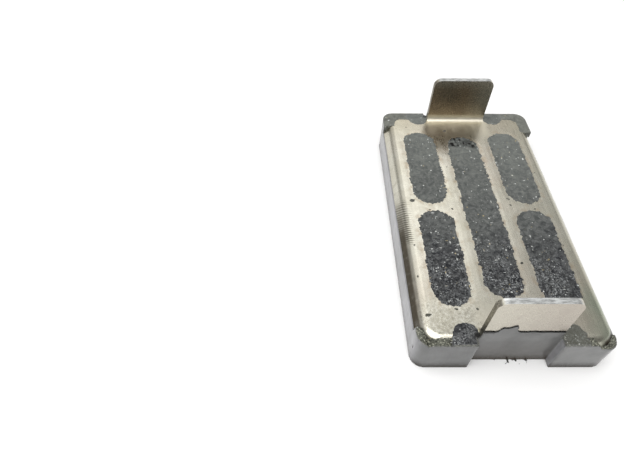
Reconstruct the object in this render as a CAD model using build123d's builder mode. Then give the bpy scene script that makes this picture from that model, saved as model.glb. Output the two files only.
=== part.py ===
from build123d import *
from math import cos, radians
import os

# Disc-brake pad: a friction block moulded onto a pressed steel backing frame.
#
# +Y runs along the pad, +X across it, and +Z from the friction face towards the caliper
# pistons. The origin is the middle of the friction face, so the pad stands on z = 0.
# All sizes are in millimetres, and angles in degrees.

# Whole pad
PAD_LENGTH = 125.0
PAD_WIDTH = 70.0
PLATE_TOP = 17.0

# Friction block
BLOCK_CORNER_RADIUS = 5.0
NOTCH_WIDTH = 29.0
NOTCH_DEPTH = 3.0
NOTCH_EDGE_RADIUS = 0.8
FILL_DROP = 0.3
END_LIP_DROP = 0.6
END_LIP_START = 54.5

# Backing frame: a pressed tray with a sloping rim, measured over the rim's lower edge
SHEET = 2.2
FRAME_LENGTH = 124.0
FRAME_WIDTH = 69.0
FRAME_CORNER_RADIUS = 7.5
RIM_HEIGHT = 4.5
RIM_LEAN = 30.0
RIM_OUTER_RADIUS = 3.5

# Five slots that the friction material fills
SLOT_WIDTH = 13.6
CENTRE_SLOT_LENGTH = 87.2
SIDE_SLOT_LENGTH = 44.6
SIDE_SLOT_GAP = 4.6
SIDE_SLOT_OFFSET = 19.8

# Two tabs bent up out of the plate, with a relief hole on each side of each bend
TAB_WIDTH = 27.2
TAB_TOP = 38.8
TAB_CORNER_RADIUS = 3.3
TAB_BEND_RADIUS = 2.2
RELIEF_WIDTH = 9.0
RELIEF_REACH = 54.2

# Adhesive between steel and friction material
BOND_THICKNESS = 0.2

# Derived levels
plate_underside = PLATE_TOP - SHEET
rim_bottom = PLATE_TOP - RIM_HEIGHT
fill_top = PLATE_TOP - FILL_DROP
end_lip_top = PLATE_TOP - END_LIP_DROP
toe_top = PLATE_TOP + TAB_BEND_RADIUS

# Derived places along the pad
notch_wall = PAD_LENGTH / 2 - NOTCH_DEPTH
tab_outer_radius = TAB_BEND_RADIUS + SHEET
bend_start = notch_wall - tab_outer_radius

# The rim leans, so one thickness measured square to it takes this much more measured level
level_per_square = 1 / cos(radians(RIM_LEAN))
sheet_inset = SHEET * level_per_square
film_inset = (SHEET + BOND_THICKNESS) * level_per_square

side_slot_y = (SIDE_SLOT_GAP + SIDE_SLOT_LENGTH) / 2
side_slot_centres = [
    (x, y) for x in (-SIDE_SLOT_OFFSET, SIDE_SLOT_OFFSET) for y in (-side_slot_y, side_slot_y)
]

# A relief hole has a round inner end and runs out through the plate's end
relief_radius = RELIEF_WIDTH / 2
relief_x = TAB_WIDTH / 2 + relief_radius
relief_y = RELIEF_REACH + relief_radius
relief_run = PAD_LENGTH / 2 - relief_y
relief_centres = [(x, y) for x in (-relief_x, relief_x) for y in (-relief_y, relief_y)]
relief_run_centres = [
    (x, y + relief_run / 2 if y > 0 else y - relief_run / 2) for x, y in relief_centres
]

# Everything cut through the plate, seen from above: slots, reliefs and the gaps of the tabs
with BuildSketch() as windows:
    SlotOverall(CENTRE_SLOT_LENGTH, SLOT_WIDTH, rotation=90)
    with Locations(*side_slot_centres):
        SlotOverall(SIDE_SLOT_LENGTH, SLOT_WIDTH, rotation=90)
    with Locations(*relief_centres):
        Circle(relief_radius)
    with Locations(*relief_run_centres):
        Rectangle(RELIEF_WIDTH, relief_run)
    with Locations((0, bend_start)):
        Rectangle(TAB_WIDTH, PAD_LENGTH / 2 - bend_start, align=(Align.CENTER, Align.MIN))
    with Locations((0, -bend_start)):
        Rectangle(TAB_WIDTH, PAD_LENGTH / 2 - bend_start, align=(Align.CENTER, Align.MAX))

# One tab in side view: the bend and the upright, one sheet thick
with BuildSketch(Plane.YZ) as tab_profile:
    with BuildLine():
        outer_bend = CenterArc((bend_start, toe_top), tab_outer_radius, -90, 90)
        inner_bend = CenterArc((bend_start, toe_top), TAB_BEND_RADIUS, -90, 90)
        Line(outer_bend @ 0, inner_bend @ 0)
        Polyline(
            outer_bend @ 1,
            (notch_wall, TAB_TOP),
            (notch_wall - SHEET, TAB_TOP),
            inner_bend @ 1,
        )
    make_face()

# Backing frame
with BuildPart() as backing_frame:
    with BuildSketch(Plane.XY.offset(rim_bottom)):
        RectangleRounded(FRAME_WIDTH, FRAME_LENGTH, FRAME_CORNER_RADIUS)
    extrude(amount=RIM_HEIGHT, taper=RIM_LEAN)
    fillet(backing_frame.faces().sort_by(Axis.Z)[-1].edges(), RIM_OUTER_RADIUS)
    with BuildSketch(Plane.XY.offset(rim_bottom)):
        RectangleRounded(
            FRAME_WIDTH - 2 * sheet_inset,
            FRAME_LENGTH - 2 * sheet_inset,
            FRAME_CORNER_RADIUS - sheet_inset,
        )
    extrude(amount=RIM_HEIGHT - SHEET, taper=RIM_LEAN, mode=Mode.SUBTRACT)
    ceiling = backing_frame.faces().filter_by(Axis.Z).filter_by_position(
        Axis.Z, plate_underside - 0.01, plate_underside + 0.01
    )
    fillet(ceiling.edges(), RIM_OUTER_RADIUS - SHEET)
    with BuildSketch(Plane.XY.offset(rim_bottom)):
        add(windows.sketch)
    extrude(amount=RIM_HEIGHT, mode=Mode.SUBTRACT)
    for half_turn in (0, 180):
        with Locations(Rotation(0, 0, half_turn)):
            add(extrude(tab_profile.sketch, amount=TAB_WIDTH / 2, both=True, mode=Mode.PRIVATE))
    tab_corners = (
        backing_frame.edges()
        .filter_by(Axis.Y)
        .filter_by_position(Axis.Z, TAB_TOP - 0.01, TAB_TOP + 0.01)
    )
    fillet(tab_corners, TAB_CORNER_RADIUS)

# Bond film: lines the inside of the tray
with BuildPart() as bond_film:
    with BuildSketch(Plane.XY.offset(rim_bottom)):
        RectangleRounded(
            FRAME_WIDTH - 2 * sheet_inset,
            FRAME_LENGTH - 2 * sheet_inset,
            FRAME_CORNER_RADIUS - sheet_inset,
        )
    extrude(amount=RIM_HEIGHT - SHEET, taper=RIM_LEAN)
    fillet(bond_film.faces().sort_by(Axis.Z)[-1].edges(), RIM_OUTER_RADIUS - SHEET)
    with BuildSketch(Plane.XY.offset(rim_bottom)):
        RectangleRounded(
            FRAME_WIDTH - 2 * film_inset,
            FRAME_LENGTH - 2 * film_inset,
            FRAME_CORNER_RADIUS - film_inset,
        )
    extrude(amount=RIM_HEIGHT - SHEET - BOND_THICKNESS, taper=RIM_LEAN, mode=Mode.SUBTRACT)
    with BuildSketch(Plane.XY.offset(rim_bottom)):
        add(windows.sketch)
    extrude(amount=RIM_HEIGHT, mode=Mode.SUBTRACT)

# Friction block
with BuildSketch() as block_outline:
    RectangleRounded(PAD_WIDTH, PAD_LENGTH, BLOCK_CORNER_RADIUS)
    with Locations((0, -PAD_LENGTH / 2), (0, PAD_LENGTH / 2)):
        Rectangle(NOTCH_WIDTH, 2 * NOTCH_DEPTH, mode=Mode.SUBTRACT)
    notch_corners = [
        corner for corner in block_outline.vertices() if abs(abs(corner.X) - NOTCH_WIDTH / 2) < 0.01
    ]
    fillet(notch_corners, NOTCH_EDGE_RADIUS)

with BuildPart() as friction_block:
    extrude(block_outline.sketch, amount=rim_bottom)
    # The middle rises inside the tray
    with BuildSketch(Plane.XY.offset(rim_bottom)):
        RectangleRounded(
            FRAME_WIDTH - 2 * film_inset,
            FRAME_LENGTH - 2 * film_inset,
            FRAME_CORNER_RADIUS - film_inset,
        )
    extrude(amount=RIM_HEIGHT - SHEET - BOND_THICKNESS, taper=RIM_LEAN)
    # The slots, the relief holes and the space under each bend are filled
    with BuildSketch(Plane.XY.offset(rim_bottom)):
        add(windows.sketch)
        add(block_outline.sketch, mode=Mode.INTERSECT)
    extrude(amount=RIM_HEIGHT - FILL_DROP)
    # Toes that rise behind the tab bends, flush with the notch walls
    with Locations((0, bend_start, fill_top), (0, -notch_wall, fill_top)):
        Box(TAB_WIDTH, tab_outer_radius, toe_top - fill_top, align=(Align.CENTER, Align.MIN, Align.MIN))
    with Locations((0, bend_start, toe_top), (0, -bend_start, toe_top)):
        Cylinder(TAB_BEND_RADIUS + SHEET / 2, TAB_WIDTH, rotation=(0, 90, 0), mode=Mode.SUBTRACT)
    # Lips that close round the frame's ends and corners
    with BuildSketch(Plane.XY.offset(rim_bottom)):
        add(block_outline.sketch)
        Rectangle(PAD_WIDTH, 2 * END_LIP_START, mode=Mode.SUBTRACT)
    extrude(amount=end_lip_top - rim_bottom)
    add(backing_frame.part, mode=Mode.SUBTRACT)
    add(bond_film.part, mode=Mode.SUBTRACT)

os.makedirs("parts", exist_ok=True)

backing_frame.part.label = "backing_frame"
export_step(backing_frame.part, "parts/backing_frame.step")

bond_film.part.label = "bond_film"
export_step(bond_film.part, "parts/bond_film.step")

friction_block.part.label = "friction_block"
export_step(friction_block.part, "parts/friction_block.step")
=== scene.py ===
import math

import bmesh
import bpy
import numpy as np
from mathutils import Matrix, Vector


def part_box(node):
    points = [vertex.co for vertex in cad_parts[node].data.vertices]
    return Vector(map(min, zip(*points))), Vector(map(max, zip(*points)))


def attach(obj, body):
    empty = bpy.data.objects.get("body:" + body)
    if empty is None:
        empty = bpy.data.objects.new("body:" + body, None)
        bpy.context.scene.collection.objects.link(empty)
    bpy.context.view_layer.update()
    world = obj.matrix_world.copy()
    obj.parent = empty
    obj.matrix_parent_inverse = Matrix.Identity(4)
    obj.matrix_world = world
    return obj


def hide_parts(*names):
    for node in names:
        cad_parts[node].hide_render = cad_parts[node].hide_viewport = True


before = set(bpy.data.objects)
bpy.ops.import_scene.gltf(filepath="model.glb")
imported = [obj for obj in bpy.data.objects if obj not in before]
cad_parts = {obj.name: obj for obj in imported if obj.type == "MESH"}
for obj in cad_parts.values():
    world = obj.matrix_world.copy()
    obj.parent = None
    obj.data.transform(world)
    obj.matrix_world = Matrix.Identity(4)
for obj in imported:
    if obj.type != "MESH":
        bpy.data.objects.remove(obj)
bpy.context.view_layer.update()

# A brake pad lying on its friction face. Shapes are worked out in millimetres in the row frame
# and written to the meshes in metres. Materials and light work in metres.
MM = 0.001
BODY = "root"


def mm_box(node):
    low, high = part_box(node)
    return np.array(low) / MM, np.array(high) / MM


block_high = mm_box("friction_block")[1]
film_high = mm_box("bond_film")[1]
steel_low, steel_high = mm_box("backing_frame")

# Sizes of the CAD model
HALF_WIDTH = block_high[0]
HALF_LENGTH = block_high[1]
BLOCK_CORNER = 5.0
NOTCH_HALF = 14.5
NOTCH_DEPTH = 3.0
NOTCH_WALL = HALF_LENGTH - NOTCH_DEPTH
RIM_HALF_WIDTH = steel_high[0]
RIM_HALF_LENGTH = steel_high[1]
RIM_BOTTOM = steel_low[2]
RIM_SLOPE = math.tan(math.radians(30.0))
PLATE_TOP = 17.0
FILM_THICKNESS = 0.2
TRAY_CEILING = film_high[2] - FILM_THICKNESS
SLOT_RADIUS = 6.8
SIDE_SLOT_X = 19.8
SIDE_SLOT_Y = 24.6
SIDE_SLOT_HALF = 22.3
CENTRE_SLOT_HALF = 43.6
TAB_HALF = 13.6
BEND_CENTRE_Y = 55.1
BEND_CENTRE_Z = 19.2
BEND_OUTER = 4.4
RELIEF_RADIUS = 4.5
RELIEF_X = 18.1
RELIEF_Y = 58.7


# ---------------------------------------------------------------- camera
CAMERA_AT = Vector((-0.07233, -0.13636, 0.16662))
PITCH, YAW, ROLL = math.radians(50.403), math.radians(1.066), math.radians(0.944)

camera_data = bpy.data.cameras.new("camera")
camera_data.lens = 28.293
camera_data.sensor_width = 36.0
camera_data.clip_start = 0.005
camera_data.clip_end = 20.0
camera = bpy.data.objects.new("camera", camera_data)
bpy.context.scene.collection.objects.link(camera)
right = Vector((math.cos(YAW), -math.sin(YAW), 0.0))
ahead = Vector((
    math.sin(YAW) * math.cos(PITCH), math.cos(YAW) * math.cos(PITCH), -math.sin(PITCH)
))
up = Vector((math.sin(YAW) * math.sin(PITCH), math.cos(YAW) * math.sin(PITCH), math.cos(PITCH)))
camera_x = right * math.cos(ROLL) + up * math.sin(ROLL)
camera_y = up * math.cos(ROLL) - right * math.sin(ROLL)
turn = Matrix((camera_x, camera_y, -ahead)).transposed()
camera.matrix_world = Matrix.Translation(CAMERA_AT) @ turn.to_4x4()
bpy.context.scene.camera = camera


# ---------------------------------------------------------------- noise and meshing
def value_noise(points, cell, seed):
    """Smooth random values from -1 to 1 at points, which are in mm, over cells of that size."""
    count = 32
    off_centre = 7.31
    table = np.random.RandomState(seed).uniform(-1, 1, (count, count, count))
    place = np.asarray(points, float) / cell + off_centre
    base = np.floor(place).astype(int)
    part = place - base
    part = part * part * (3 - 2 * part)
    total = np.zeros(place.shape[:-1])
    for corner in np.ndindex(2, 2, 2):
        weight = 1.0
        for d in range(3):
            weight = weight * np.abs(1 - corner[d] - part[..., d])
        i, j, k = ((base[..., d] + corner[d]) % count for d in range(3))
        total += weight * table[i, j, k]
    return total


def fractal(points, cell, seed, octaves=3, gain=0.5):
    """Value noise at several sizes, each half the last, weighted by powers of gain."""
    total, strength, norm = 0.0, 1.0, 0.0
    for octave in range(octaves):
        total = total + strength * value_noise(points, cell / 2 ** octave, seed + 17 * octave)
        norm += strength
        strength *= gain
    return total / norm


def flat_points(x, y, stretch=(1.0, 1.0)):
    return np.stack([x * stretch[0], y * stretch[1], np.zeros_like(x)], -1)


def ease(value, low, high):
    """0 below low, 1 above high, smooth between."""
    part = np.clip((value - low) / (high - low), 0, 1)
    return part * part * (3 - 2 * part)


def net(xs, ys, zs, field):
    """Vertices and outward quads of the closed surface round the grid points where field < 0.
    The field has to be positive all over the outside of the grid."""
    axes = (xs, ys, zs)
    cells = tuple(n - 1 for n in field.shape)
    size = cells[0] * cells[1] * cells[2]
    sums = np.zeros((3, size))
    count = np.zeros(size)
    inside = field < 0
    quads = []
    for axis in range(3):
        low = [slice(None)] * 3
        high = [slice(None)] * 3
        low[axis] = slice(0, -1)
        high[axis] = slice(1, None)
        at = np.argwhere(inside[tuple(low)] != inside[tuple(high)])
        after = at.copy()
        after[:, axis] += 1
        first, second = field[tuple(at.T)], field[tuple(after.T)]
        place = np.stack([axes[d][at[:, d]] for d in range(3)], 1).astype(float)
        step = axes[axis][after[:, axis]] - axes[axis][at[:, axis]]
        place[:, axis] += step * first / (first - second)
        u, v = (axis + 1) % 3, (axis + 2) % 3
        ring = []
        for du, dv in ((-1, -1), (0, -1), (0, 0), (-1, 0)):
            cell = at.copy()
            cell[:, u] += du
            cell[:, v] += dv
            flat = np.ravel_multi_index(cell.T, cells)
            ring.append(flat)
            for d in range(3):
                sums[d] += np.bincount(flat, place[:, d], size)
            count += np.bincount(flat, minlength=size)
        quad = np.stack(ring, 1)
        backward = ~inside[tuple(at.T)]
        quad[backward] = quad[backward][:, ::-1]
        quads.append(quad)
    used = np.flatnonzero(count)
    number = np.full(size, -1)
    number[used] = np.arange(len(used))
    return (sums[:, used] / count[used]).T, number[np.concatenate(quads)].tolist()


def make_piece(name, vertices, faces, material, replaced, zones, dark, merge=None):
    """A mesh piece from vertices in mm. zones and dark are per-vertex values that the material
    reads. merge(centres) says which hidden flat faces become one."""
    mesh = bpy.data.meshes.new(name)
    mesh.from_pydata((np.asarray(vertices) * MM).tolist(), [], faces)
    mesh.update()
    mesh.polygons.foreach_set("use_smooth", [True] * len(mesh.polygons))
    layer = mesh.attributes.new("zone", "FLOAT_COLOR", "POINT")
    layer.data.foreach_set("color", np.asarray(zones, np.float32).ravel())
    layer = mesh.attributes.new("dark", "FLOAT", "POINT")
    layer.data.foreach_set("value", np.asarray(dark, np.float32).ravel())
    if merge is not None:
        hidden = np.flatnonzero(merge(np.asarray(vertices)[np.asarray(faces)].mean(1)))
        shape = bmesh.new()
        shape.from_mesh(mesh)
        shape.faces.ensure_lookup_table()
        hidden_faces = [shape.faces[i] for i in hidden]
        bmesh.ops.dissolve_faces(shape, faces=hidden_faces, use_verts=True)
        shape.to_mesh(mesh)
        shape.free()
    piece = bpy.data.objects.new(name, mesh)
    bpy.context.scene.collection.objects.link(piece)
    mesh.materials.append(material)
    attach(piece, BODY)
    if replaced:
        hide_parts(*replaced)
    return piece


# ---------------------------------------------------------------- material helpers
class Nodes:
    """Short names for building one material's nodes. Coordinates are in metres."""

    def __init__(self, name):
        self.material = bpy.data.materials.new(name)
        self.material.use_nodes = True
        self.tree = self.material.node_tree
        self.tree.nodes.clear()
        self.shader = self.tree.nodes.new("ShaderNodeBsdfPrincipled")
        output = self.tree.nodes.new("ShaderNodeOutputMaterial")
        self.tree.links.new(self.shader.outputs[0], output.inputs[0])

    def put(self, socket, value):
        if isinstance(value, bpy.types.NodeSocket):
            self.tree.links.new(value, socket)
        elif value is not None:
            current = socket.default_value
            if hasattr(current, "__len__") and len(current) == 4 and len(value) == 3:
                value = (*value, 1.0)
            socket.default_value = value

    def place(self):
        return self.tree.nodes.new("ShaderNodeTexCoord").outputs["Object"]

    def normal(self):
        geometry = self.tree.nodes.new("ShaderNodeNewGeometry")
        return self.parts(geometry.outputs["True Normal"])

    def scaled(self, vector, scale, turn=(0, 0, 0)):
        node = self.tree.nodes.new("ShaderNodeMapping")
        self.put(node.inputs["Vector"], vector)
        node.inputs["Scale"].default_value = scale
        node.inputs["Rotation"].default_value = turn
        return node.outputs[0]

    def noise(self, vector, scale, detail=3.0, rough=0.55, warp=0.0):
        node = self.tree.nodes.new("ShaderNodeTexNoise")
        self.put(node.inputs["Vector"], vector)
        node.inputs["Scale"].default_value = scale
        node.inputs["Detail"].default_value = detail
        node.inputs["Roughness"].default_value = rough
        node.inputs["Distortion"].default_value = warp
        return node.outputs[0]

    def cells(self, vector, scale, output="Distance"):
        node = self.tree.nodes.new("ShaderNodeTexVoronoi")
        self.put(node.inputs["Vector"], vector)
        node.inputs["Scale"].default_value = scale
        return node.outputs[output]

    def span(self, value, low, high, to_low=0.0, to_high=1.0, smooth=False):
        node = self.tree.nodes.new("ShaderNodeMapRange")
        node.interpolation_type = "SMOOTHSTEP" if smooth else "LINEAR"
        self.put(node.inputs["Value"], value)
        node.inputs["From Min"].default_value = low
        node.inputs["From Max"].default_value = high
        node.inputs["To Min"].default_value = to_low
        node.inputs["To Max"].default_value = to_high
        return node.outputs[0]

    def math(self, operation, a, b=None, clamp=False):
        node = self.tree.nodes.new("ShaderNodeMath")
        node.operation = operation
        node.use_clamp = clamp
        for socket, value in zip(node.inputs, (a, b)):
            self.put(socket, value)
        return node.outputs[0]

    def times(self, a, b):
        return self.math("MULTIPLY", a, b)

    def plus(self, a, b, clamp=False):
        return self.math("ADD", a, b, clamp)

    def minus(self, a, b):
        return self.math("SUBTRACT", a, b)

    def larger(self, a, b):
        return self.math("MAXIMUM", a, b)

    def absolute(self, a):
        return self.math("ABSOLUTE", a)

    def swing(self, noise, reach):
        """A noise from 0 to 1 as a length of up to half of reach either way."""
        return self.times(self.minus(noise, 0.5), reach)

    def mix(self, factor, a, b):
        node = self.tree.nodes.new("ShaderNodeMix")
        node.data_type = "RGBA"
        self.put(node.inputs["Factor"], factor)
        self.put(node.inputs[6], a)
        self.put(node.inputs[7], b)
        return node.outputs[2]

    def parts(self, vector):
        node = self.tree.nodes.new("ShaderNodeSeparateXYZ")
        self.put(node.inputs[0], vector)
        return node.outputs[0], node.outputs[1], node.outputs[2]

    def bump(self, height, distance, strength=1.0, base=None):
        node = self.tree.nodes.new("ShaderNodeBump")
        node.inputs["Strength"].default_value = strength
        node.inputs["Distance"].default_value = distance
        self.put(node.inputs["Height"], height)
        if base is not None:
            self.put(node.inputs["Normal"], base)
        return node.outputs[0]

    def attribute(self, name, output="Vector"):
        node = self.tree.nodes.new("ShaderNodeAttribute")
        node.attribute_name = name
        return node.outputs[output]

    def set(self, **values):
        for name, value in values.items():
            self.put(self.shader.inputs[name.replace("_", " ")], value)


# ---------------------------------------------------------------- steel
# Where things are, in metres: pairs are the ends of a soft edge
NEAR_STRETCH = -0.015, -0.045
TAB_SIDE = 0.0125, 0.0160
BEND_START = 0.043, 0.053
BEND_TOP = 0.0186, 0.0202
TAB_FOOT = 0.0186, 0.0206
CUT_TOP_AT = 0.037, 0.0375
DARK_BAND_TOP = 0.0147, 0.0164
DARK_BAND_END = 0.010, -0.014
RIM_EDGE = 0.0275, 0.0300
RIM_TOP = 0.0170, 0.0180
# The tool marks: their middle along y, half the distance between two, and how they lean
MARKS_Y = -0.0075
MARK_HALF_GAP = 0.00050
MARK_LEAN = 1.2
# Linear colours. A pair goes from one end of its range to the other.
CLEAN = (0.555, 0.536, 0.452), (0.640, 0.625, 0.552)
CLOUDED = (0.42, 0.385, 0.305)
WARM = (0.525, 0.485, 0.375)
GREENISH = (0.37, 0.405, 0.325)
PINKISH = (0.585, 0.520, 0.440)
DIMPLE_RIM = (0.80, 0.79, 0.72)
SAND = (0.25, 0.225, 0.18)
BROWNED = (0.40, 0.30, 0.20)
# A painted highlight on the bends
BEND_HIGHLIGHT = (0.71, 0.665, 0.545), (0.80, 0.755, 0.63)
# Painted shade on the tabs' faces, inside, then outside
TAB_INNER_SHADE = (0.235, 0.190, 0.135), (0.330, 0.305, 0.245)
TAB_INNER_SHADE_TOP = (0.36, 0.33, 0.27)
TAB_OUTER_SHADE = (0.545, 0.515, 0.440), (0.440, 0.400, 0.345)
BLUSH_SPOT = (0.42, 0.37, 0.33)
# Cut edges: painted shade on the sides, a painted highlight on the top
CUT_SIDE_SHADE = (0.115, 0.105, 0.080), (0.30, 0.28, 0.23)
CUT_TOP_HIGHLIGHT = (0.36, 0.37, 0.37), (0.78, 0.80, 0.80)
# The dark band low on the rim: tarnish and painted crease shade
DARK_BAND = (0.032, 0.026, 0.017), (0.100, 0.086, 0.062)


def slot_ring(n, x, y):
    """Distance outside the nearest slot, from nodes."""
    across, along = n.absolute(x), n.absolute(y)

    def one(dx, dy):
        run = n.larger(dy, 0.0)
        reach = n.math("SQRT", n.plus(n.times(dx, dx), n.times(run, run)))
        return n.minus(reach, SLOT_RADIUS * MM)

    centre = one(x, n.minus(along, (CENTRE_SLOT_HALF - SLOT_RADIUS) * MM))
    side_y = n.absolute(n.minus(along, SIDE_SLOT_Y * MM))
    side = one(
        n.minus(across, SIDE_SLOT_X * MM), n.minus(side_y, (SIDE_SLOT_HALF - SLOT_RADIUS) * MM)
    )
    return n.math("MINIMUM", centre, side)


def steel_material():
    n = Nodes("satin_steel")
    place = n.place()
    x, y, z = n.parts(place)
    far_x, far_y = n.absolute(x), n.absolute(y)
    across, along, upward = n.normal()
    cloud = n.noise(place, 60.0, 4.0, 0.6)
    patch = n.noise(place, 300.0, 5.0, 0.65, 0.4)
    grain = n.noise(place, 2400.0, 3.0, 0.65)
    rub = n.noise(n.scaled(place, (1100.0, 50.0, 1100.0), (0, 0, 0.10)), 1.0, 3.0, 0.65)
    cross = n.noise(n.scaled(place, (45.0, 1500.0, 1500.0), (0, 0, 0.5)), 1.0, 2.0, 0.6)
    ring = slot_ring(n, x, y)
    clean = n.mix(n.span(cloud, 0.35, 0.65), *CLEAN)
    clean = n.mix(n.span(patch, 0.55, 0.75, 0.0, 0.35), clean, CLOUDED)
    # Warmer towards the far end, greenish at the near right, sandy and dimpled at the near left
    clean = n.mix(n.span(y, 0.034, 0.056, 0.0, 0.75), clean, WARM)
    green = n.times(n.span(x, 0.022, 0.030), n.span(y, *NEAR_STRETCH, 0.15, 0.95))
    clean = n.mix(green, clean, GREENISH)
    sand = n.times(n.span(grain, 0.54, 0.66), n.span(cloud, 0.40, 0.62, 0.10, 0.42))
    sand = n.times(sand, n.span(y, -0.018, -0.045, 0.45, 1.1))
    dimples = n.times(n.span(x, -0.006, -0.014), n.span(y, -0.040, -0.048))
    blotch = n.noise(place, 1100.0, 3.0, 0.7)
    sand = n.larger(sand, n.times(dimples, n.span(blotch, 0.53, 0.64, 0.0, 0.45)))
    dimple_rim = n.times(dimples, n.span(blotch, 0.46, 0.39, 0.0, 0.6))
    clean = n.mix(dimple_rim, clean, DIMPLE_RIM)
    clean = n.mix(n.span(n.noise(place, 38.0, 2.0), 0.50, 0.68, 0.0, 0.45), clean, PINKISH)
    clean = n.mix(sand, clean, SAND)
    # Brownish tint where the composite was pressed past the slots' edges
    by_slot = n.span(ring, 0.0005, 0.0034, 1.0, 0.0, True)
    tint = n.times(by_slot, n.span(patch, 0.48, 0.66, 0.0, 0.55))
    clean = n.mix(tint, clean, BROWNED)
    # The bends get a painted highlight where the die rolled them, the far one more, and are rougher
    # there as burnished
    near_tab = n.span(far_x, *TAB_SIDE, 1.0, 0.0, True)
    bend_highlight_and_burnish = n.times(n.span(far_y, *BEND_START), n.span(z, *BEND_TOP, 1.0, 0.0))
    bend_highlight_and_burnish = n.times(bend_highlight_and_burnish, n.times(near_tab, n.span(y, -0.01, 0.01, 0.3, 1.0)))
    clean = n.mix(bend_highlight_and_burnish, clean, n.mix(n.span(patch, 0.3, 0.7), *BEND_HIGHLIGHT))
    # The tabs get painted shade: dark brown inside, lighter towards the top, and paler outside,
    # with spots
    raised = n.span(z, *TAB_FOOT)
    inward = n.times(raised, n.span(n.times(along, y), -0.025, -0.045))
    inner_shade = n.mix(n.span(x, 0.002, 0.013), *TAB_INNER_SHADE)
    clean = n.mix(inward, clean, n.mix(n.span(z, 0.0340, 0.0385), inner_shade, TAB_INNER_SHADE_TOP))
    outward = n.times(raised, n.span(n.times(along, y), 0.025, 0.045))
    outer_shade = n.mix(n.span(x, -0.010, 0.008), *TAB_OUTER_SHADE)
    spotted = n.mix(n.span(patch, 0.50, 0.75, 0.0, 0.4), outer_shade, BLUSH_SPOT)
    clean = n.mix(outward, clean, spotted)
    # Cut edges of the tabs, scored along the top, with painted shade on the sides and a painted
    # highlight on the top
    side_cut = n.times(n.span(n.absolute(across), 0.6, 0.85), n.span(z, 0.0185, 0.0195))
    clean = n.mix(side_cut, clean, n.mix(n.span(grain, 0.4, 0.6), *CUT_SIDE_SHADE))
    top_cut = n.times(n.span(upward, 0.8, 0.95), n.span(z, *CUT_TOP_AT))
    scored = n.noise(n.scaled(place, (330.0, 1500.0, 1500.0)), 1.0, 3.0, 0.7)
    clean = n.mix(top_cut, clean, n.mix(n.span(scored, 0.36, 0.60), *CUT_TOP_HIGHLIGHT))
    # A dark brown band low on the long sides' sloping rim towards the near end, tarnish and painted
    # shade of the crease above the composite, with tool marks on the left at its end
    edge = n.plus(z, n.swing(patch, 0.0012))
    dark_band = n.span(edge, *DARK_BAND_TOP, 1.0, 0.0, True)
    band_fade = n.plus(n.span(y, *DARK_BAND_END), n.swing(patch, 0.9), clamp=True)
    dark_band = n.times(dark_band, band_fade)
    comb = n.math("PINGPONG", n.plus(y, n.times(z, MARK_LEAN)), MARK_HALF_GAP)
    hatch = n.times(n.span(comb, 0.00022, 0.00036), n.span(edge, 0.0166, 0.0171, 1.0, 0.0))
    from_middle = n.absolute(n.plus(y, -MARKS_Y))
    hatch = n.times(hatch, n.span(from_middle, 0.009, 0.013, 1.0, 0.0))
    hatch = n.times(hatch, n.span(x, -0.030, -0.028, 1.0, 0.0))
    dark_band = n.larger(dark_band, hatch)
    dark_band = n.times(dark_band, n.span(far_x, *RIM_EDGE))
    dark_band = n.times(dark_band, n.span(edge, *RIM_TOP, 1.0, 0.0))
    n.set(Base_Color=n.mix(dark_band, clean, n.mix(n.span(patch, 0.3, 0.7), *DARK_BAND)))
    rough = n.plus(n.span(patch, 0.3, 0.7, 0.20, 0.29), n.span(rub, 0.35, 0.7, 0.0, 0.07))
    rough = n.plus(rough, n.times(bend_highlight_and_burnish, 0.18))
    rough = n.plus(rough, n.times(n.larger(dark_band, n.larger(side_cut, top_cut)), 0.14))
    n.set(Roughness=rough, Metallic=1.0)
    scratch = n.larger(n.span(rub, 0.60, 0.72), n.span(cross, 0.66, 0.74))
    fine = n.bump(scratch, 0.00002, 0.5)
    fine = n.bump(grain, 0.00001, 0.5, fine)
    # The plate dips a little towards the slots' punched edges
    roll = n.span(ring, 0.0004, 0.0024, 0.0, 1.0, True)
    fine = n.bump(roll, 0.00004, 0.8, fine)
    n.set(Normal=n.bump(n.noise(place, 200.0, 3.0, 0.5), 0.00010, 0.6, fine))
    return n.material


# ---------------------------------------------------------------- friction composite
# Moulded sides: on the long sides, then on the ends, whose darker colours are painted shade
SKIN_PALE = (0.310, 0.310, 0.325), (0.190, 0.192, 0.192)
SKIN_DEEP = (0.225, 0.226, 0.232), (0.132, 0.134, 0.132)
SKIN_STREAK = (0.110, 0.111, 0.113)
RIGHT_END = (0.175, 0.178, 0.176), (0.245, 0.246, 0.243)
PIT = (0.020, 0.019, 0.017)
# Painted contact shadow at the foot of the sides
FOOT_SHADOW = (0.026, 0.021, 0.016)
# Painted shade in the notches
NOTCH_SHADE = (0.036, 0.022, 0.009)
# Fill and flash: at the far end, then at the near end. The lighter far fill is partly a painted
# reflection of the bright surroundings
FILL_LOW = (0.112, 0.121, 0.115), (0.008, 0.009, 0.012)
FILL_HIGH = (0.182, 0.191, 0.176), (0.098, 0.101, 0.103)
FILL_CHIP = (0.34, 0.355, 0.36)
FILL_POCK = (0.004, 0.004, 0.006)
FILL_SMOOTH = (0.118, 0.120, 0.094)
FLASH_LOW = (0.098, 0.102, 0.091), (0.026, 0.027, 0.019)
FLASH_HIGH = (0.190, 0.197, 0.176), (0.165, 0.170, 0.138)
FLASH_CHIP = (0.46, 0.46, 0.37)
FLASH_POCK = (0.010, 0.010, 0.008)
GROUND = (0.060, 0.062, 0.052), (0.165, 0.168, 0.148)
FLAKES = (0.66, 0.68, 0.66), (0.42, 0.34, 0.18)
# The colour the dark attribute mixes in: painted shade in cracks and gaps, and soot, specks and
# crumbs
SOOT_AND_SHADE = (0.006, 0.006, 0.006)
ADHESIVE = (0.10, 0.06, 0.035), (0.17, 0.11, 0.07)
# The pit in the left side near the near corner
PIT_Y, PIT_Z = -0.0583, 0.0082


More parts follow.
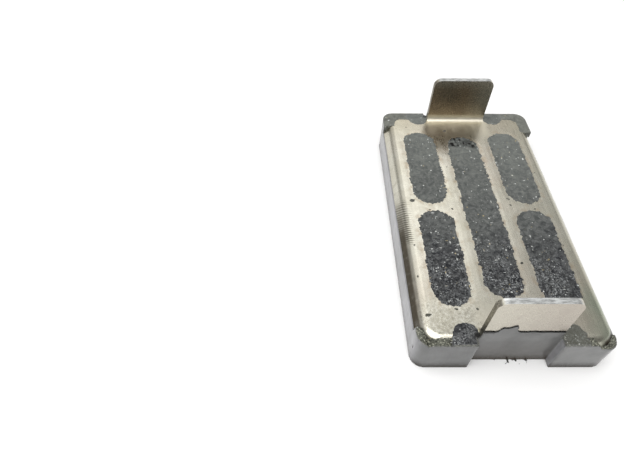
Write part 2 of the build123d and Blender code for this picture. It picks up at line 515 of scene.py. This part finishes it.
def side_colour(n, x, y, z, cloud, patch, streak):
    """Moulded skin of the sides, with painted shade: darker on the end faces, a painted contact
    shadow at the foot, stronger on the ends, and painted shade in the notches.
    """
    far_x, far_y = n.absolute(x), n.absolute(y)
    along = n.normal()[1]
    # The end faces take the darker colours as painted shade
    ends = n.span(n.absolute(along), 0.35, 0.85)
    pale = n.mix(ends, *SKIN_PALE)
    deep = n.mix(ends, *SKIN_DEEP)
    skin = n.mix(n.span(cloud, 0.35, 0.65), deep, pale)
    skin = n.mix(n.span(streak, 0.48, 0.72, 0.0, 0.30), skin, SKIN_STREAK)
    on_right = n.times(ends, n.span(x, 0.0140, 0.0160))
    skin = n.mix(on_right, skin, n.mix(n.span(cloud, 0.35, 0.65), *RIGHT_END))
    pit_y, pit_z = n.plus(y, -PIT_Y), n.plus(z, -PIT_Z)
    pit = n.plus(n.times(n.times(pit_y, pit_y), 5.0), n.times(pit_z, pit_z))
    pit = n.span(n.math("SQRT", pit), 0.0007, 0.0012, 0.85, 0.0)
    skin = n.mix(n.times(pit, n.span(x, -0.0330, -0.0340)), skin, PIT)
    foot = n.plus(z, n.swing(patch, 0.0030))
    # A painted contact shadow darkens the foot, more on the ends
    foot_shadow = n.span(foot, 0.0004, 0.0050, 0.95, 0.0, True)
    skin = n.mix(n.times(foot_shadow, n.span(ends, 0.0, 1.0, 0.3, 1.0)), skin, FOOT_SHADOW)
    # Painted shade in the notches, darkest at the foot
    notch = n.times(
        n.span(far_x, 0.0140, 0.0147, 1.0, 0.0), n.span(far_y, 0.0590, 0.0600, 1.0, 0.0)
    )
    notch = n.times(notch, n.span(foot, 0.0015, 0.0150, 0.92, 0.22))
    return n.mix(notch, skin, NOTCH_SHADE)


def fill_colour(n, x, y, cloud, patch, grain, crowd, near):
    """Fill in the slots: lighter and even at the far end, partly as a painted reflection, dark and
    cratered at the near end.
    """
    dark = n.mix(n.span(patch, 0.38, 0.64), n.mix(near, *FILL_LOW), n.mix(near, *FILL_HIGH))
    chips = n.times(n.span(grain, 0.54, 0.61), n.span(crowd, 0.40, 0.60, 0.12, 1.0))
    drift = n.plus(y, n.times(n.span(x, -0.010, 0.014), 0.009))
    tip = n.span(n.plus(drift, n.swing(cloud, 0.02)), -0.008, -0.030)
    chips = n.times(chips, n.span(tip, 0.0, 1.0, 0.10, 1.0))
    dark = n.mix(n.times(chips, n.span(near, 0.0, 1.0, 0.3, 1.0)), dark, FILL_CHIP)
    pocks = n.times(n.span(grain, 0.46, 0.40), n.span(tip, 0.0, 1.0, 0.05, 0.95))
    dark = n.mix(pocks, dark, FILL_POCK)
    # The near right relief hole is smoother than the left one
    smooth = n.times(n.span(x, 0.012, 0.015), n.span(y, -0.050, -0.053, 0.0, 0.6))
    return n.mix(smooth, dark, FILL_SMOOTH)


def flash_colour(n, y, patch, grain):
    """Rough flash at the ends, more broken at the near end."""
    crumble = n.span(y, 0.05, -0.05)
    low, high = n.mix(crumble, *FLASH_LOW), n.mix(crumble, *FLASH_HIGH)
    rind = n.mix(n.span(patch, 0.36, 0.66), low, high)
    chips = n.times(n.span(grain, 0.55, 0.61), n.span(crumble, 0.0, 1.0, 0.1, 0.75))
    rind = n.mix(chips, rind, FLASH_CHIP)
    pocks = n.times(n.span(grain, 0.46, 0.40), n.span(crumble, 0.0, 1.0, 0.0, 0.8))
    return n.mix(pocks, rind, FLASH_POCK)


def with_flakes(n, place, colour, crowd, near, back):
    """The colour with pale flakes, crumbs and chopped fibres where back is 1."""
    warp = n.noise(place, 900.0, 2.0)
    flake = n.plus(n.cells(place, 1050.0), n.span(warp, 0.3, 0.7, -0.12, 0.12))
    red, green, blue = n.parts(n.cells(place, 1050.0, "Color"))
    show = n.span(n.minus(n.span(red, 0.86, 1.0, 0.0, 0.42), flake), 0.0, 0.10)
    fine_at = n.plus(n.cells(place, 1900.0), n.span(warp, 0.3, 0.7, -0.12, 0.12))
    tiny = n.parts(n.cells(place, 1900.0, "Color"))[0]
    crumbs = n.span(n.minus(n.span(tiny, 0.80, 1.0, 0.0, 0.45), fine_at), 0.0, 0.12)
    crowded = n.times(n.span(crowd, 0.42, 0.58, 0.1, 1.0), n.span(near, 0.1, 1.0, 0.1, 1.0))
    show = n.larger(show, n.times(crumbs, crowded))

    def fibre(scale, turn, rarest):
        at = n.scaled(place, scale, (0.0, 0.0, turn))
        kind = n.parts(n.cells(at, 1.0, "Color"))[0]
        return n.minus(n.span(kind, rarest, 1.0, 0.0, 0.36), n.cells(at, 1.0))

    fibres = n.larger(
        fibre((420.0, 1700.0, 900.0), 0.9, 0.92), fibre((1500.0, 380.0, 900.0), 0.5, 0.93)
    )
    show = n.times(n.larger(show, n.span(fibres, 0.0, 0.10)), back)
    flake_colour = n.mix(n.span(green, 0.80, 0.84), *FLAKES)
    return n.mix(n.times(show, n.span(blue, 0.0, 1.0, 0.35, 0.95)), colour, flake_colour)


def friction_material(name, specular):
    """zone red: fill seen through the steel, green: rough flash, blue: ground friction face."""
    n = Nodes(name)
    place = n.place()
    x, y, z = n.parts(place)
    fill, flash, face = n.parts(n.attribute("zone"))
    cloud = n.noise(place, 70.0, 4.0, 0.6)
    patch = n.noise(place, 480.0, 5.0, 0.68, 0.6)
    grain = n.noise(place, 1700.0, 4.0, 0.75)
    crowd = n.noise(place, 190.0, 3.0, 0.6)
    streak = n.noise(n.scaled(place, (330.0, 330.0, 45.0)), 1.0, 4.0, 0.65)
    groove = n.noise(n.scaled(place, (40.0, 1500.0, 200.0)), 1.0, 4.0, 0.7)
    near = n.plus(n.span(y, 0.045, -0.036), n.swing(cloud, 0.9), clamp=True)
    skin = side_colour(n, x, y, z, cloud, patch, streak)
    colour = n.mix(fill, skin, fill_colour(n, x, y, cloud, patch, grain, crowd, near))
    colour = n.mix(flash, colour, flash_colour(n, y, patch, grain))
    colour = n.mix(face, colour, n.mix(n.span(groove, 0.35, 0.65), *GROUND))
    back = n.plus(fill, n.plus(flash, face), clamp=True)
    colour = with_flakes(n, place, colour, crowd, near, back)
    n.set(Base_Color=n.mix(n.attribute("dark", "Fac"), colour, SOOT_AND_SHADE))
    n.set(Roughness=n.plus(n.span(patch, 0.3, 0.7, 0.17, 0.27), n.times(back, 0.25)))
    n.set(IOR=1.5, Specular_IOR_Level=specular)
    bumpy = n.bump(streak, 0.00004, 0.5)
    bumpy = n.bump(n.times(n.plus(patch, grain), back), 0.00030, 0.8, bumpy)
    fine = n.times(grain, n.span(back, 0.0, 1.0, 0.4, 1.0))
    n.set(Normal=n.bump(fine, 0.00003, 0.6, bumpy))
    return n.material


def film_material():
    n = Nodes("cured_adhesive")
    cloud = n.noise(n.place(), 300.0, 4.0, 0.6)
    n.set(Base_Color=n.mix(n.span(cloud, 0.35, 0.65), *ADHESIVE))
    n.set(Roughness=n.span(cloud, 0.3, 0.7, 0.4, 0.6))
    n.set(Normal=n.bump(cloud, 0.00005, 0.5))
    return n.material


steel = steel_material()
friction = friction_material("friction_composite", 0.25)
filling = friction_material("friction_fill", 0.16)
film = film_material()


def dress(node, material):
    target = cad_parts[node]
    target.data.materials.clear()
    target.data.materials.append(material)


dress("backing_frame", steel)
dress("bond_film", film)


# ---------------------------------------------------------------- plan shapes, in mm
def rounded(x, y, half_x, half_y, radius):
    """Distance outside a rounded rectangle; negative inside."""
    qx = np.abs(x) - half_x + radius
    qy = np.abs(y) - half_y + radius
    beyond = np.hypot(np.maximum(qx, 0), np.maximum(qy, 0))
    return beyond + np.minimum(np.maximum(qx, qy), 0) - radius


def block_outline(x, y):
    block = rounded(x, y, HALF_WIDTH, HALF_LENGTH, BLOCK_CORNER)
    notch = np.maximum(np.abs(x) - NOTCH_HALF, NOTCH_WALL - np.abs(y))
    return np.maximum(block, -notch)


def relief(x, y):
    """Distance outside the four relief holes, which run out through the plate's ends."""
    dx = np.abs(x) - RELIEF_X
    return np.where(
        np.abs(y) < RELIEF_Y,
        np.hypot(dx, np.abs(y) - RELIEF_Y) - RELIEF_RADIUS,
        np.abs(dx) - RELIEF_RADIUS,
    )


def inside_rim(x, y, z, inset, corner):
    """Distance outside the sloping rim's surface moved inwards by inset, at each height z."""
    plan = rounded(x, y, RIM_HALF_WIDTH - inset, RIM_HALF_LENGTH - inset, corner)
    return plan[..., None] + (z - RIM_BOTTOM) * RIM_SLOPE


def spaced(*runs):
    """Grid lines: each run is (start, end, spacing)."""
    lines = [np.linspace(a, b, max(1, round((b - a) / s)), endpoint=False) for a, b, s in runs]
    return np.concatenate(lines + [[runs[-1][1]]])


def noise_along(xs, cell, seed):
    return value_noise(np.stack([xs, 0 * xs, 0 * xs], -1), cell, seed)


# ---------------------------------------------------------------- friction block
# The composite inside the frame, and where the lips outside it run under the rim's surface
TRAY_INSET, TRAY_CORNER = 2.8, 4.7
LIP_INSET, LIP_CORNER = 0.4, 7.1
# How far the tray's composite and the plugs reach below the rim, so that the parts join
JOIN = 0.5
# Mean heights of the lips, at the far and the near end
FAR_LIP, NEAR_LIP = 16.95, 16.45
# The plate that the far flash leaves bare: half sizes and corner
BARE_HALF_X, BARE_HALF_Y, BARE_CORNER = 29.7, 57.5, 3.5
# The flash lies over the steel as a skin; below it the relief holes are plugged
FLASH_SKIN = 0.10
FLASH_BOTTOM = 14.0
PLUG_TOP = 15.0
# The toes stand behind the tab bends, past TOE_START from the pad's middle
TOE_START = 54.0
TOE_PROUD = 0.35
NEAR_SMEAR, FAR_SMEAR = 21.6, 20.4
# A lump beside the far tab's left foot, and the gaps beside both tabs' left feet: x, y
LUMP = -14.3, 60.0
NEAR_GAP = -14.4, -58.6
FAR_GAP = -14.2, 60.1
# The crumbs at the foot of the near notch
CRUMB_HALF = 11.0
CRUMB_TOP = 0.45


def underside(x, y):
    """The ground friction face, with fine grooves and a few chips."""
    face = 0.06 + 0.05 * fractal(flat_points(x, y, (0.06, 1.0)), 0.9, 5, 2)
    return face + 0.25 * ease(value_noise(flat_points(x, y), 1.1, 9), 0.72, 0.95)


def lip_height(x, y):
    """Top of the flash round the frame's ends."""
    where = flat_points(x, y)
    lumps = fractal(where, 1.5, 31, 3, 0.85)
    far = FAR_LIP + 0.20 * lumps
    near = NEAR_LIP + 0.62 * lumps
    # A nick at the left corner, and a low stretch at the right one
    near = near - 1.3 * np.exp(-(((x + 30.9 + 0.5 * lumps) / 0.9) ** 2))
    near = near - 2.9 * ease(x, 25.0, 29.0)
    height = np.where(y > 0, far, near)
    # The flash starts some way along the long sides
    start = np.where(y > 0, np.where(x > 0, 48.5, 52.8), np.where(x > 0, 56.0, 55.0))
    start = start + 1.2 * value_noise(where, 2.2, 37)
    return height - 4.6 * (1 - ease(np.abs(y), start - 0.5, start + 1.0))


def flash_over_steel(x, y, plan, ragged):
    """Plan of the flash over the plate's far edge and round the relief holes."""
    over = -rounded(x, y, BARE_HALF_X, BARE_HALF_Y, BARE_CORNER) + 0.75 * ragged
    over = np.where(y > 0, over, 5.0)
    over = np.maximum(over, np.where(x > 0, 48.0, 52.5) - y + 1.0 * ragged)
    over = np.maximum(over, plan)
    holes = relief(x, y) - 0.40 - 0.75 * ragged
    return np.minimum(over, np.maximum(holes, plan))


def smear_tops(xs):
    """Upper edges of the thin smears up the near and the far tab's outer face."""
    rag = noise_along(xs, 0.9, 61) + 0.5 * noise_along(xs, 0.4, 63)
    hump = 3.7 * ease(xs, -10.2, -7.8) * (1 - ease(xs, -3.4, -2.2))
    hump = hump - 1.2 * (1 - ease(xs, -6.5, -4.0)) * ease(xs, -10.2, -9.0)
    near_top = NEAR_SMEAR + hump + 0.22 * rag
    far_top = FAR_SMEAR + 1.0 * noise_along(xs, 4.0, 65) + 0.25 * rag
    return near_top, far_top


def toes(x3, y3, z3, near_top, far_top):
    """Toes behind the tab bends, and the smears above them."""
    bend = BEND_OUTER - 0.25 - np.hypot(np.abs(y3) - BEND_CENTRE_Y, z3 - BEND_CENTRE_Z)
    upright = np.where(z3 > BEND_CENTRE_Z, NOTCH_WALL - 0.25 - np.abs(y3), bend)
    top = np.where(y3 < 0, near_top[:, None, None], far_top[:, None, None])
    proud = NOTCH_WALL + TOE_PROUD * ease(z3, 14.0, 20.0)
    toe = np.maximum(np.maximum(upright, np.abs(y3) - proud), z3 - top)
    toe = np.maximum(np.maximum(toe, np.abs(x3) - TAB_HALF - 0.15), RIM_BOTTOM - JOIN - z3)
    return np.maximum(toe, TOE_START - np.abs(y3))


def body_field(xs, ys, zs, near_top, far_top):
    """Negative inside the block's composite, at each grid point."""
    x2, y2 = np.meshgrid(xs, ys, indexing="ij")
    x3, y3, z3 = np.meshgrid(xs, ys, zs, indexing="ij")
    flat = flat_points(x2, y2)
    plan = block_outline(x2, y2)
    # The moulded outline, with a broken upper edge at the ends
    chipped = 0.30 * np.maximum(fractal(flat, 1.3, 43, 2, 0.8), -0.2) * (np.abs(y2) > 54.0)
    side = plan[..., None] + chipped[..., None] * ease(z3, 14.2, 16.0)
    base = np.maximum(side, z3 - RIM_BOTTOM)
    # What fills the frame's hollow, up to the film
    tray = np.maximum(inside_rim(x2, y2, z3, TRAY_INSET, TRAY_CORNER), z3 - TRAY_CEILING)
    solid = np.minimum(base, np.maximum(tray, RIM_BOTTOM - JOIN - z3))
    # Lips outside the rim, which run a little way under the steel's surface
    lips = np.maximum(side, -inside_rim(x2, y2, z3, LIP_INSET, LIP_CORNER))
    solid = np.minimum(solid, np.maximum(lips, z3 - lip_height(x2, y2)[..., None]))
    # The ragged flash, a thin skin over the steel
    ragged = fractal(flat, 1.6, 41, 3, 0.95)
    skin = PLATE_TOP + FLASH_SKIN + 0.09 * fractal(flat, 1.0, 51, 3, 0.6)
    flash = np.maximum(flash_over_steel(x2, y2, plan, ragged)[..., None], z3 - skin[..., None])
    solid = np.minimum(solid, np.maximum(flash, FLASH_BOTTOM - z3))
    plug = np.maximum(relief(x2, y2) - 0.05, plan)[..., None]
    plug = np.maximum(np.maximum(plug, z3 - PLUG_TOP), RIM_BOTTOM - JOIN - z3)
    solid = np.minimum(solid, plug)
    # A lump squeezed out beside the far tab's left foot
    lump = np.hypot((x2 - LUMP[0]) / 1.3, y2 - LUMP[1]) - 1.0 + 0.25 * ragged
    solid = np.minimum(solid, np.maximum(np.maximum(lump[..., None], z3 - 17.1), 11.5 - z3))
    solid = np.minimum(solid, toes(x3, y3, z3, near_top, far_top))
    # A crumbling edge at the foot of the near notch
    crumbs = 2.0 * ease(fractal(flat, 1.3, 67, 2, 0.8), -0.25, 0.45)
    crumbs = crumbs * ease(x2, -5.0, -2.0) * (1 - ease(x2, 7.5, 9.5))
    skirt = np.maximum(NOTCH_WALL - 0.3 + y2, -y2 - NOTCH_WALL - crumbs + 0.1)
    skirt = np.maximum(skirt, np.abs(x2) - CRUMB_HALF)[..., None]
    solid = np.minimum(solid, np.maximum(skirt, z3 - CRUMB_TOP))
    return np.maximum(solid, underside(x2, y2)[..., None] - z3)


def swell_sides(vertices, wall):
    """Small unevenness of the moulded sides, across the outline."""
    x, y, z = vertices.T
    on_side = ease(wall, -0.6, -0.1) * ease(z, 0.2, 1.0)
    swell = 0.07 * fractal(vertices, 14.0, 71, 2) + 0.03 * fractal(vertices, 2.5, 73, 2)
    swell = np.minimum(swell - 0.06, 0.0) * on_side
    step = 0.05
    gx = (block_outline(x + step, y) - block_outline(x - step, y)) / (2 * step)
    gy = (block_outline(x, y + step) - block_outline(x, y - step)) / (2 * step)
    vertices[:, 0] += gx * swell
    vertices[:, 1] += gy * swell


def body_zones(vertices, wall):
    x, y, z = vertices.T
    fill = ease(z, 15.9, 16.5) * (wall < -0.25) * (1 - ease(relief(x, y), 0.4, 0.8))
    flash = ease(z, 12.35, 12.8) * (1 - ease(wall, -0.35, -0.15)) + ease(z, 15.8, 16.4) * 0.6
    flash = np.clip(flash, 0, 1) * (1 - fill)
    flash = flash * ease(np.abs(x), TAB_HALF - 0.2, TAB_HALF + 0.4)
    face = 1 - ease(z, 0.2, 0.45)
    return np.stack([fill, flash, face, np.ones_like(x)], 1)


def body_shade_and_crumbs(vertices, xs, near_top):
    """How dark each vertex is: painted shade in the crack and the gaps, and dark crumbs."""
    x, y, z = vertices.T
    # Painted shade in the crack along the smear's upper edge on the near tab
    top = np.interp(x, xs, near_top)
    on_toe = (y < -58.9) & (np.abs(x) < TAB_HALF + 0.4)
    crevice_shade = on_toe * ease(z, top - 0.70 - 0.9 * (x < -9.8), top - 0.35)
    # Painted shade in the deep gaps beside the left foot of the near tab and of the far tab
    near_gap = np.hypot((x - NEAR_GAP[0]) / 1.1, y - NEAR_GAP[1])
    crevice_shade = np.maximum(crevice_shade, (1 - ease(near_gap, 0.7, 1.3)) * (z > 15.5))
    far_gap = np.hypot(x - FAR_GAP[0], y - FAR_GAP[1])
    crevice_shade = np.maximum(crevice_shade, 0.8 * (1 - ease(far_gap, 0.9, 1.5)) * (z > 11.0))
    crumbs = (y < -59.66) & (y > -61.4) & (z < 0.75) & (np.abs(x) < CRUMB_HALF)
    return np.maximum(crevice_shade, 0.75 * crumbs)


def under_film(at):
    """The faces of the block's flat top, which the film covers."""
    level = np.abs(at[:, 2] - TRAY_CEILING) < 0.02
    return level & (np.abs(at[:, 0]) < 30.0) & (np.abs(at[:, 1]) < 52.0)


def friction_body():
    xs = spaced((-35.9, -25.0, 0.34), (-25.0, 25.0, 0.5), (25.0, 35.9, 0.34))
    ys = spaced(
        (-63.4, -60.2, 0.32), (-60.2, -59.0, 0.2), (-59.0, -52.0, 0.36), (-52.0, 46.0, 0.75),
        (46.0, 52.0, 0.5), (52.0, 59.0, 0.36), (59.0, 60.2, 0.2), (60.2, 63.4, 0.32),
    )
    zs = spaced(
        (-0.3, 0.9, 0.4), (0.9, 12.0, 1.0), (12.0, 13.2, 0.4), (13.2, 17.7, 0.25),
        (17.7, 20.1, 0.4), (20.1, 26.1, 0.2),
    )
    near_top, far_top = smear_tops(xs)
    vertices, faces = net(xs, ys, zs, body_field(xs, ys, zs, near_top, far_top))
    wall = block_outline(vertices[:, 0], vertices[:, 1])
    swell_sides(vertices, wall)
    make_piece(
        "friction_body", vertices, faces, friction, ["friction_block"],
        body_zones(vertices, wall), body_shade_and_crumbs(vertices, xs, near_top), under_film,
    )


# ---------------------------------------------------------------- composite in the slots
FILL_LEVEL = 16.84
FILL_BOTTOM = 15.6
FILL_SMEAR = 0.09
FILL_STEP = 0.25


def slot_distance(x, y, half):
    return np.hypot(x, np.maximum(np.abs(y) - half + SLOT_RADIUS, 0)) - SLOT_RADIUS


def slot_fill(name, centre_x, centre_y, half, seed):
    spare = 1.5
    reach = SLOT_RADIUS + spare
    xs = centre_x + spaced((-reach, reach, FILL_STEP))
    ys = centre_y + spaced((-half - spare, half + spare, FILL_STEP))
    zs = spaced((15.4, 16.2, 0.4), (16.2, 17.5, 0.1))
    x2, y2 = np.meshgrid(xs, ys, indexing="ij")
    flat = flat_points(x2, y2)
    ragged = fractal(flat, 1.7, seed, 3, 0.95)
    slow = value_noise(flat, 5.0, seed + 3)
    away = slot_distance(x2 - centre_x, y2 - centre_y, half)
    # The outline smears over the steel, and never leaves the slot open
    outline = away - 0.42 - 1.35 * ragged - 0.35 * slow
    outline = np.minimum(outline, away - 0.05)
    rough = fractal(flat, 1.1, seed + 5, 3, 0.7)
    pits = ease(value_noise(flat, 0.9, seed + 7), 0.45, 0.9)
    coarse = 1 - ease(y2, -45.0, 10.0)
    level = FILL_LEVEL + (0.06 + 0.13 * coarse) * rough - 0.30 * coarse * pits
    smear = PLATE_TOP + FILL_SMEAR + 0.05 * rough
    level = level + (smear - level) * ease(away, -1.3, -0.15)
    z3 = zs[None, None, :]
    solid = np.maximum(np.maximum(outline[..., None], z3 - level[..., None]), FILL_BOTTOM - z3)
    vertices, faces = net(xs, ys, zs, solid)
    zones = np.tile((1.0, 0.0, 0.0, 1.0), (len(vertices), 1))
    # A broken, sooty patch at the centre slot's far end, and dark holes at the near ends
    along = vertices[:, 1]
    holes = ease(value_noise(vertices, 1.3, seed + 9), 0.15, 0.6)
    broken = ease(along + 2.0 * value_noise(vertices, 2.6, 11), 34.5, 39.5) * (centre_x == 0.0)
    holes = np.clip(holes + broken * (0.35 + 0.5 * value_noise(vertices, 0.8, 13)), 0, 1)
    dark = holes * np.clip(broken + 0.45 * (1 - ease(along, -45.0, -5.0)), 0, 1)
    make_piece(
        name, vertices, faces, filling, (), zones, dark,
        lambda at: at[:, 2] < FILL_BOTTOM + 0.1,
    )


friction_body()
slot_fill("fill_centre", 0.0, 0.0, CENTRE_SLOT_HALF, 101)
slot_fill("fill_left_near", -SIDE_SLOT_X, -SIDE_SLOT_Y, SIDE_SLOT_HALF, 111)
slot_fill("fill_left_far", -SIDE_SLOT_X, SIDE_SLOT_Y, SIDE_SLOT_HALF, 121)
slot_fill("fill_right_near", SIDE_SLOT_X, -SIDE_SLOT_Y, SIDE_SLOT_HALF, 131)
slot_fill("fill_right_far", SIDE_SLOT_X, SIDE_SLOT_Y, SIDE_SLOT_HALF, 141)


# ---------------------------------------------------------------- specks stuck to the plate
# x, y, half length, half width, turn in degrees
SPECKS = [
    (-28.0, 3.5, 1.35, 0.80, 10), (-12.1, -1.2, 0.60, 0.32, 150), (-30.4, -20.0, 0.42, 0.34, 0),
    (-31.2, -34.5, 0.45, 0.30, 60), (-29.8, -50.8, 1.15, 0.62, 15), (-19.6, -48.4, 0.80, 0.45, 165),
    (-12.2, -48.4, 0.60, 0.42, 120), (9.0, -28.6, 0.72, 0.48, 30), (12.5, 1.1, 0.60, 0.32, 160),
    (12.4, 4.5, 0.95, 0.28, 150), (22.1, -1.1, 0.62, 0.30, 10), (-21.5, -1.6, 0.45, 0.25, 170),
    (-9.9, 24.0, 0.30, 0.22, 0), (27.6, -20.0, 0.28, 0.20, 0), (-6.5, 48.9, 0.85, 0.50, 20),
    (-24.5, 51.5, 0.30, 0.22, 0), (28.3, 20.5, 0.25, 0.2, 0),
]
# Each speck's rings, from its edge to its top: share of its size, height above the plate
SPECK_RINGS = ((1.0, -0.03), (0.85, 0.07), (0.4, 0.13))
SPECK_POINTS = 14
SPECK_DARKNESS = 0.55


def plate_specks():
    """Small flat lumps of composite stuck to the plate."""
    random = np.random.RandomState(7)
    vertices, faces = [], []
    count = SPECK_POINTS
    for x, y, long, wide, degrees in SPECKS:
        first = len(vertices)
        wobble = 1 + 0.45 * (random.rand(count) - 0.5)
        angle = np.radians(degrees)
        for share, height in SPECK_RINGS:
            for i in range(count):
                turn = 2 * math.pi * i / count
                a = share * wobble[i] * long * math.cos(turn)
                b = share * wobble[i] * wide * math.sin(turn)
                vertices.append((
                    x + a * math.cos(angle) - b * math.sin(angle),
                    y + a * math.sin(angle) + b * math.cos(angle),
                    PLATE_TOP + height + 0.03 * (random.rand() - 0.5) * (height > 0),
                ))
        for ring in (0, 1):
            a, b = first + ring * count, first + (ring + 1) * count
            for i in range(count):
                j = (i + 1) % count
                faces.append((a + i, a + j, b + j, b + i))
        faces.append(tuple(first + 2 * count + i for i in range(count)))
        faces.append(tuple(first + i for i in reversed(range(count))))
    zones = np.tile((0.0, 1.0, 0.0, 1.0), (len(vertices), 1))
    dark = np.full(len(vertices), SPECK_DARKNESS)
    make_piece("plate_specks", vertices, faces, friction, (), zones, dark)


plate_specks()


# ---------------------------------------------------------------- floor and light
FLOOR = 3.0  # half the floor's side
AMBIENT = 0.46
DARKEST = 0.03
KEY_AT = (-0.30, -0.38, 1.15)
FLOOR_COLOUR = (0.90, 0.90, 0.90)
SKY_COLOUR = (1.0, 0.99, 0.97, 1.0)
# Soft patches of the surroundings: direction, degrees to its inner and outer edge, strength
LOBES = [
    ((0.10, 0.645, 0.76), 2, 20, 1.34),
    ((0.84, 0.54, -0.02), 8, 34, 0.55),
    ((-0.46, 0.44, 0.77), 5, 32, 0.75),
    ((0.15, -0.85, 0.5), 15, 58, -0.27),
]

floor_mesh = bpy.data.meshes.new("floor")
floor_mesh.from_pydata(
    [(-FLOOR, -FLOOR, 0), (FLOOR, -FLOOR, 0), (FLOOR, FLOOR, 0), (-FLOOR, FLOOR, 0)], [],
    [(0, 1, 2, 3)],
)
floor = bpy.data.objects.new("floor", floor_mesh)
bpy.context.scene.collection.objects.link(floor)
paper = Nodes("paper")
paper.set(Base_Color=FLOOR_COLOUR, Roughness=0.7, Specular_IOR_Level=0.2)
floor_mesh.materials.append(paper.material)

world = bpy.data.worlds.new("studio")
bpy.context.scene.world = world
world.use_nodes = True
tree = world.node_tree
tree.nodes.clear()
background = tree.nodes.new("ShaderNodeBackground")
world_output = tree.nodes.new("ShaderNodeOutputWorld")
tree.links.new(background.outputs[0], world_output.inputs[0])
sky = tree.nodes.new("ShaderNodeTexCoord").outputs["Generated"]


def lobe(direction, inner, outer, strength):
    """The full strength within inner of that direction, and nothing past outer."""
    dot = tree.nodes.new("ShaderNodeVectorMath")
    dot.operation = "DOT_PRODUCT"
    tree.links.new(sky, dot.inputs[0])
    dot.inputs[1].default_value = Vector(direction).normalized()
    ramp = tree.nodes.new("ShaderNodeMapRange")
    ramp.interpolation_type = "SMOOTHERSTEP"
    tree.links.new(dot.outputs["Value"], ramp.inputs["Value"])
    ramp.inputs["From Min"].default_value = math.cos(math.radians(outer))
    ramp.inputs["From Max"].default_value = math.cos(math.radians(inner))
    ramp.inputs["To Min"].default_value = 0.0
    ramp.inputs["To Max"].default_value = strength
    return ramp.outputs[0]


def combined(a, b, operation="ADD"):
    node = tree.nodes.new("ShaderNodeMath")
    node.operation = operation
    for socket, value in zip(node.inputs, (a, b)):
        if isinstance(value, bpy.types.NodeSocket):
            tree.links.new(value, socket)
        else:
            socket.default_value = value
    return node.outputs[0]


level = AMBIENT
for row in LOBES:
    level = combined(level, lobe(*row))
level = combined(level, DARKEST, "MAXIMUM")
tree.links.new(level, background.inputs["Strength"])
background.inputs["Color"].default_value = SKY_COLOUR

key_data = bpy.data.lights.new("key", "AREA")
key_data.shape = "DISK"
key_data.size = 1.5
key_data.energy = 17.0
key = bpy.data.objects.new("key", key_data)
key.location = KEY_AT
key.rotation_mode = "QUATERNION"
# It faces the pad, at the middle of the frame
key.rotation_quaternion = key.location.to_track_quat("Z", "Y")
bpy.context.scene.collection.objects.link(key)

bpy.context.scene.view_settings.view_transform = "Standard"
bpy.context.scene.view_settings.look = "None"
